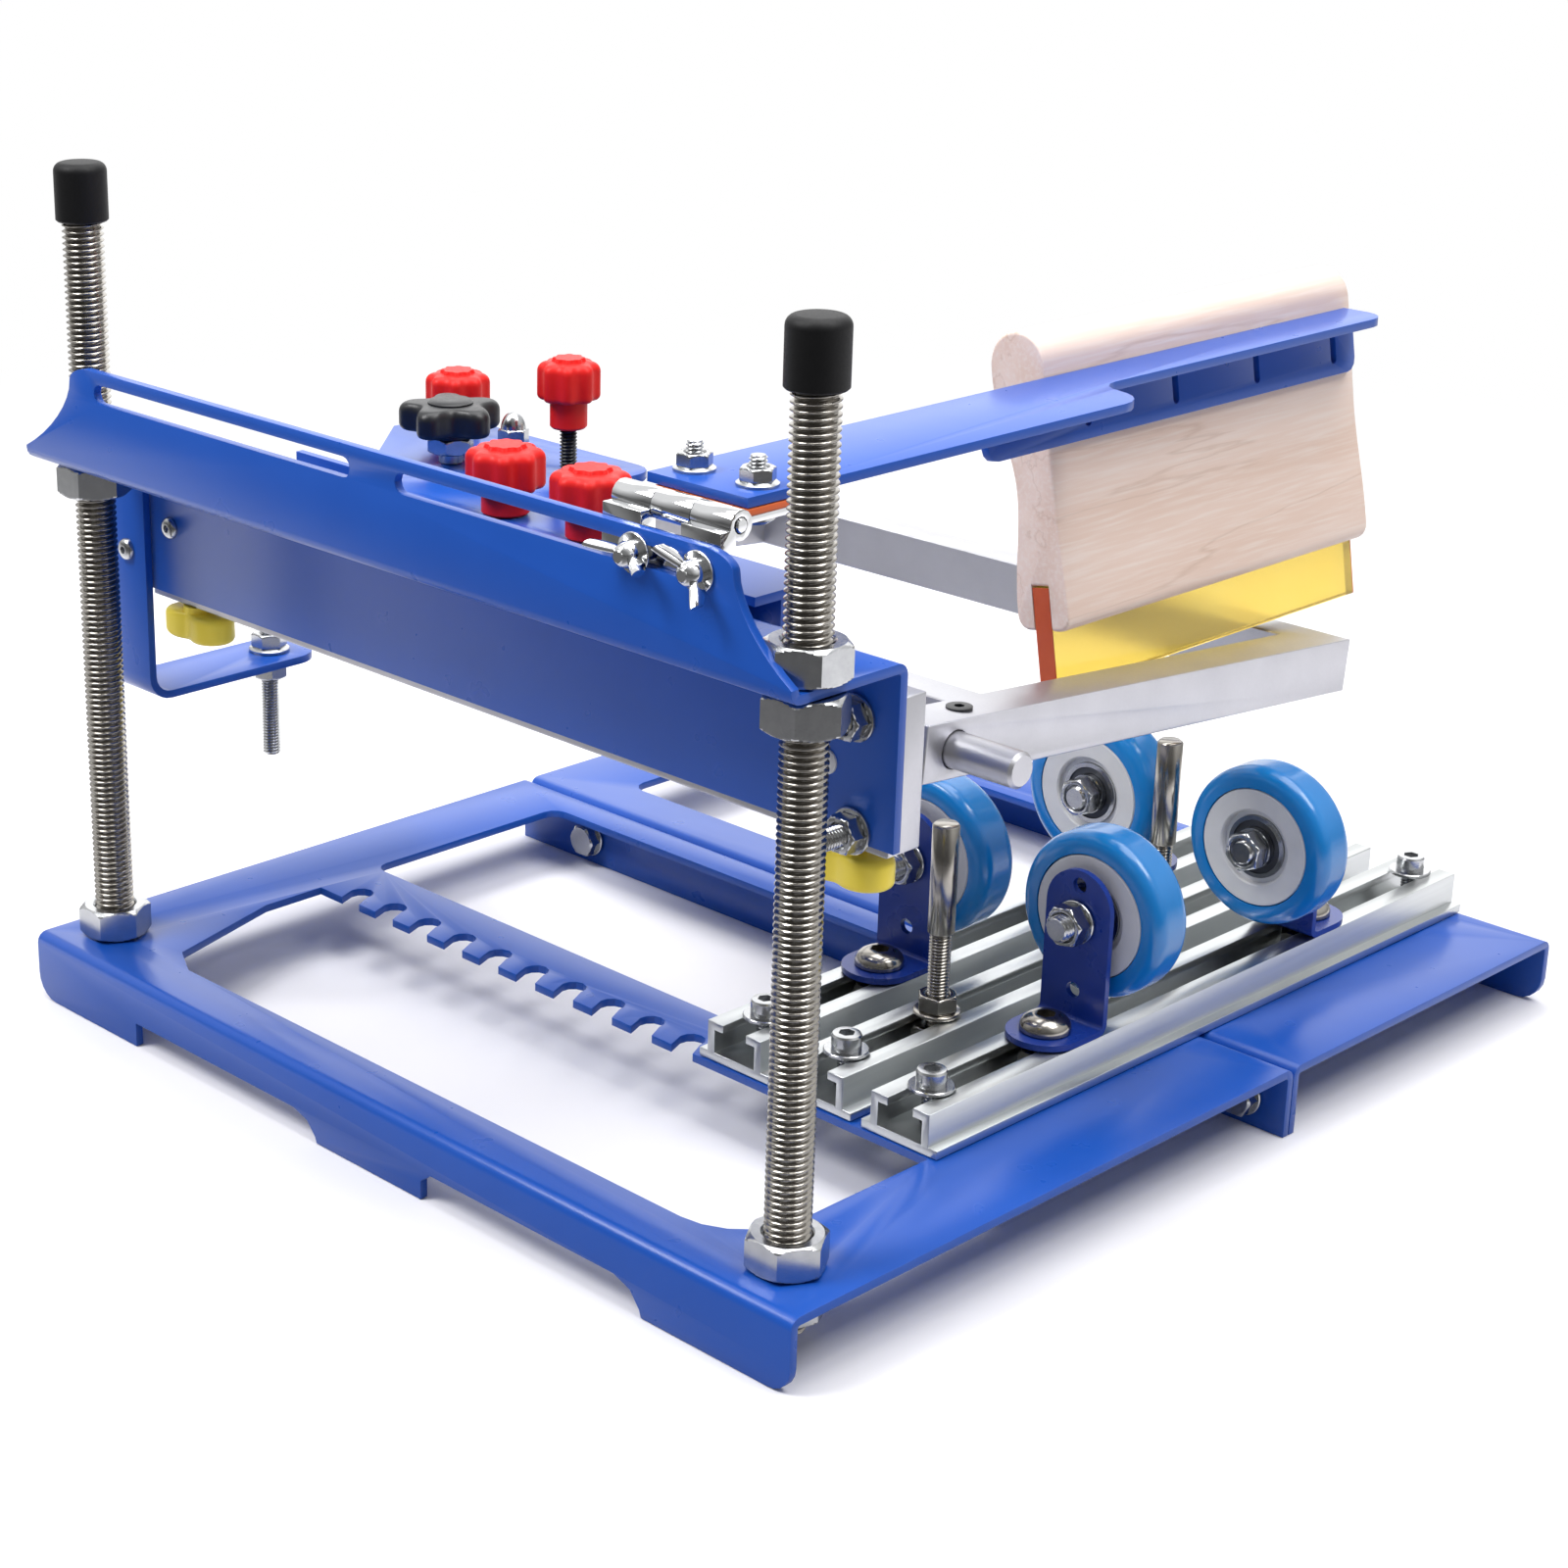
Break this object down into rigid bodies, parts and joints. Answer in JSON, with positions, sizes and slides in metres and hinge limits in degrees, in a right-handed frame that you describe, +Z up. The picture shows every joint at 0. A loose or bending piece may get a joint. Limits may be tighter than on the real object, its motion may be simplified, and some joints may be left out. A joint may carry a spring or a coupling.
{
  "type": "screen printing press",
  "caption": "Bench press for screen printing round goods: folded base with roller rails, a bridge on threaded posts, a tilting screen frame and a hinged squeegee.",
  "frame": {"origin": "middle of the bounding box on the floor", "axes": "+X along the bridge to the squeegee's side, +Y from the bridge to the rear, +Z up"},
  "size_m": [0.334, 0.343, 0.2575],
  "materials": {
    "blue_coat": "gloss",
    "zinc": "satin",
    "chrome": "polished",
    "alloy": "satin",
    "cap_rubber": "matte",
    "red_plastic": "satin",
    "black_plastic": "satin",
    "yellow_plastic": "satin",
    "tyre_blue": "satin",
    "core_pale": "matte",
    "wood": "satin",
    "blade": "satin",
    "orange_pad": "matte"
  },
  "bodies": {
    "base": {"base_front_frame": "blue_coat", "base_rear_frame": "blue_coat", "joint_bolt_left": "zinc", "joint_bolt_right": "zinc", "post_left": "zinc", "post_right": "zinc", "base_nut_upper_left": "zinc", "base_nut_upper_right": "zinc", "base_nut_lower_left": "zinc", "base_nut_lower_right": "zinc", "post_cap_left": "cap_rubber", "post_cap_right": "cap_rubber", "rail_left": "alloy", "rail_center": "alloy", "rail_right": "alloy", "rail_screw_front_left": "zinc", "rail_screw_front_center": "zinc", "rail_screw_front_right": "zinc", "rail_screw_rear_left": "zinc", "rail_screw_rear_center": "zinc", "rail_screw_rear_right": "zinc"},
    "bridge": {"bridge_beam": "blue_coat", "guide_rail": "alloy", "stop_bracket": "blue_coat", "bridge_nut_upper_left": "zinc", "bridge_nut_upper_right": "zinc", "bridge_nut_lower_left": "zinc", "bridge_nut_lower_right": "zinc", "hinge_leaf": "chrome", "hinge_pin": "zinc"},
    "carriage": {"carriage": "blue_coat", "pivot_shaft": "zinc"},
    "screen": {"screen_frame": "alloy"},
    "squeegee": {"hinge_leaf_moving": "chrome", "squeegee_arm": "blue_coat", "arm_pad": "orange_pad", "squeegee_handle": "wood", "squeegee_blade": "blade"},
    "stop_screw": {"stop_screw": "zinc"},
    "wing_left": {"wing_knob_left": "yellow_plastic"},
    "wing_right": {"wing_knob_right": "yellow_plastic"},
    "knob_a": {"knob_red_a": "red_plastic"},
    "knob_b": {"knob_red_b": "red_plastic"},
    "knob_c": {"knob_red_c": "red_plastic"},
    "knob_d": {"knob_red_d": "red_plastic"},
    "knob_star": {"knob_black": "black_plastic"},
    "stop_front": {"stop_bolt_front": "zinc"},
    "stop_rear": {"stop_bolt_rear": "zinc"},
    "bracket_front_left": {"roller_bracket_front_left": "blue_coat"},
    "wheel_front_left": {"roller_core_front_left": "core_pale", "roller_tyre_front_left": "tyre_blue"},
    "bracket_front_right": {"roller_bracket_front_right": "blue_coat"},
    "wheel_front_right": {"roller_core_front_right": "core_pale", "roller_tyre_front_right": "tyre_blue"},
    "bracket_rear_left": {"roller_bracket_rear_left": "blue_coat"},
    "wheel_rear_left": {"roller_core_rear_left": "core_pale", "roller_tyre_rear_left": "tyre_blue"},
    "bracket_rear_right": {"roller_bracket_rear_right": "blue_coat"},
    "wheel_rear_right": {"roller_core_rear_right": "core_pale", "roller_tyre_rear_right": "tyre_blue"}
  },
  "joints": [
    {"name": "bridge_height", "type": "slide", "parent": "base", "child": "bridge", "axis": [0, 0, 1], "range_m": [-0.005, 0.045]},
    {"name": "carriage_slide", "type": "slide", "parent": "bridge", "child": "carriage", "axis": [1, 0, 0], "range_m": [0, 0.045]},
    {"name": "screen_tilt", "type": "hinge", "parent": "carriage", "child": "screen", "pos_m": [-0.151, -0.0625, 0.1265], "axis": [1, 0, 0], "range_deg": [-4, 0]},
    {"name": "squeegee_swing", "type": "hinge", "parent": "bridge", "child": "squeegee", "pos_m": [-0.151, -0.156, 0.206], "axis": [1, 0, 0], "range_deg": [0, 100]},
    {"name": "stop_screw_turn", "type": "hinge", "parent": "bridge", "child": "stop_screw", "pos_m": [-0.155, -0.0755, 0.091], "axis": [0, 0, 1], "continuous": true},
    {"name": "wing_left_turn", "type": "hinge", "parent": "bridge", "child": "wing_left", "pos_m": [-0.129, -0.12135, 0.1217], "axis": [0, 0, 1], "continuous": true},
    {"name": "wing_right_turn", "type": "hinge", "parent": "bridge", "child": "wing_right", "pos_m": [0.135, -0.12135, 0.1217], "axis": [0, 0, 1], "continuous": true},
    {"name": "knob_a_turn", "type": "hinge", "parent": "carriage", "child": "knob_a", "pos_m": [-0.071, -0.0675, 0.1768], "axis": [0, 0, 1], "continuous": true},
    {"name": "knob_b_turn", "type": "hinge", "parent": "carriage", "child": "knob_b", "pos_m": [-0.018, -0.0725, 0.1768], "axis": [0, 0, 1], "continuous": true},
    {"name": "knob_c_turn", "type": "hinge", "parent": "carriage", "child": "knob_c", "pos_m": [0.005, -0.117, 0.1768], "axis": [0, 0, 1], "continuous": true},
    {"name": "knob_d_turn", "type": "hinge", "parent": "carriage", "child": "knob_d", "pos_m": [0.038, -0.117, 0.1768], "axis": [0, 0, 1], "continuous": true},
    {"name": "knob_star_turn", "type": "hinge", "parent": "carriage", "child": "knob_star", "pos_m": [-0.048, -0.0915, 0.1768], "axis": [0, 0, 1], "continuous": true},
    {"name": "bracket_front_left_slide", "type": "slide", "parent": "base", "child": "bracket_front_left", "axis": [0, 1, 0], "range_m": [-0.025, 0.02]},
    {"name": "wheel_front_left_spin", "type": "hinge", "parent": "bracket_front_left", "child": "wheel_front_left", "pos_m": [0.0622, 0.001, 0.065], "axis": [0, 1, 0], "continuous": true},
    {"name": "bracket_front_right_slide", "type": "slide", "parent": "base", "child": "bracket_front_right", "axis": [0, 1, 0], "range_m": [-0.025, 0.02]},
    {"name": "wheel_front_right_spin", "type": "hinge", "parent": "bracket_front_right", "child": "wheel_front_right", "pos_m": [0.1232, 0.001, 0.065], "axis": [0, 1, 0], "continuous": true},
    {"name": "bracket_rear_left_slide", "type": "slide", "parent": "base", "child": "bracket_rear_left", "axis": [0, 1, 0], "range_m": [-0.02, 0.025]},
    {"name": "wheel_rear_left_spin", "type": "hinge", "parent": "bracket_rear_left", "child": "wheel_rear_left", "pos_m": [0.0622, 0.079, 0.065], "axis": [0, 1, 0], "continuous": true},
    {"name": "bracket_rear_right_slide", "type": "slide", "parent": "base", "child": "bracket_rear_right", "axis": [0, 1, 0], "range_m": [-0.02, 0.025]},
    {"name": "wheel_rear_right_spin", "type": "hinge", "parent": "bracket_rear_right", "child": "wheel_rear_right", "pos_m": [0.1232, 0.079, 0.065], "axis": [0, 1, 0], "continuous": true},
    {"name": "stop_front_slide", "type": "slide", "parent": "base", "child": "stop_front", "axis": [0, 1, 0], "range_m": [-0.02, 0.025]},
    {"name": "stop_rear_slide", "type": "slide", "parent": "base", "child": "stop_rear", "axis": [0, 1, 0], "range_m": [-0.025, 0.035]}
  ]
}
